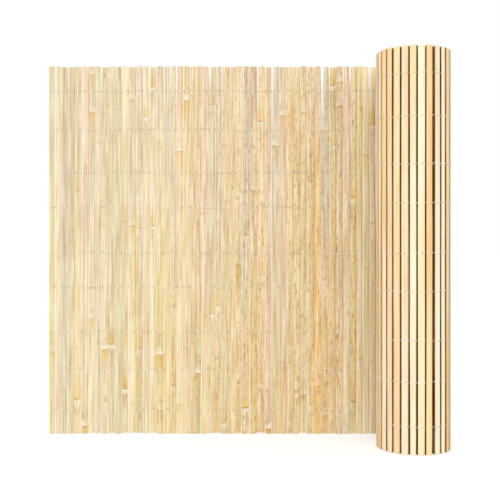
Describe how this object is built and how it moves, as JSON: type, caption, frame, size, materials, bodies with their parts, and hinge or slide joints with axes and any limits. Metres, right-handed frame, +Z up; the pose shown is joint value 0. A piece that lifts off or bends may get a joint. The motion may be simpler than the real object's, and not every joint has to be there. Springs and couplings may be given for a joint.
{
  "type": "bamboo fence panel",
  "caption": "Split-bamboo fence screen, partly unrolled: upright slats bound by rows of twisted wire, flat at one end and wound into a standing roll at the other.",
  "frame": {"origin": "on the ground, under the middle of the panel's box", "axes": "+Z up along the slats, +X along the flat part towards the roll, -Y towards the rind side, where the roll stands"},
  "size_m": [1.0584, 0.2366, 1.0001],
  "materials": {
    "bamboo_rind": "split, dry, weathered",
    "bamboo_pith": "split, dry, smooth",
    "binding_wire": "galvanised"
  },
  "bodies": {
    "root": {"slat_01": "bamboo_rind", "slat_02": "bamboo_rind", "slat_03": "bamboo_rind", "slat_04": "bamboo_rind", "slat_05": "bamboo_rind", "slat_06": "bamboo_rind", "slat_07": "bamboo_rind", "slat_08": "bamboo_rind", "slat_09": "bamboo_rind", "slat_10": "bamboo_rind", "slat_11": "bamboo_rind", "slat_12": "bamboo_rind", "slat_13": "bamboo_rind", "slat_14": "bamboo_rind", "slat_15": "bamboo_rind", "slat_16": "bamboo_rind", "slat_17": "bamboo_rind", "slat_18": "bamboo_rind", "slat_19": "bamboo_rind", "slat_20": "bamboo_rind", "slat_21": "bamboo_rind", "slat_22": "bamboo_rind", "slat_23": "bamboo_rind", "slat_24": "bamboo_rind", "slat_25": "bamboo_rind", "slat_26": "bamboo_rind", "slat_27": "bamboo_rind", "slat_28": "bamboo_rind", "slat_29": "bamboo_rind", "slat_30": "bamboo_rind", "slat_31": "bamboo_rind", "slat_32": "bamboo_rind", "slat_33": "bamboo_rind", "slat_34": "bamboo_rind", "slat_35": "bamboo_rind", "slat_36": "bamboo_rind", "slat_37": "bamboo_rind", "slat_38": "bamboo_rind", "slat_39": "bamboo_rind", "slat_40": "bamboo_rind", "slat_41": "bamboo_rind", "slat_42": "bamboo_rind", "slat_43": "bamboo_rind", "slat_44": "bamboo_rind", "slat_45": "bamboo_rind", "slat_46": "bamboo_rind", "slat_47": "bamboo_rind", "slat_48": "bamboo_rind", "roll_outer_turn": "bamboo_pith", "roll_middle_turn": "bamboo_pith", "roll_inner_turn": "bamboo_pith", "wire_row_1": "binding_wire", "wire_row_2": "binding_wire", "wire_row_3": "binding_wire", "wire_row_4": "binding_wire", "wire_row_5": "binding_wire", "wire_row_6": "binding_wire", "wire_row_7": "binding_wire", "wire_row_8": "binding_wire", "wire_row_9": "binding_wire"}
  },
  "joints": []
}
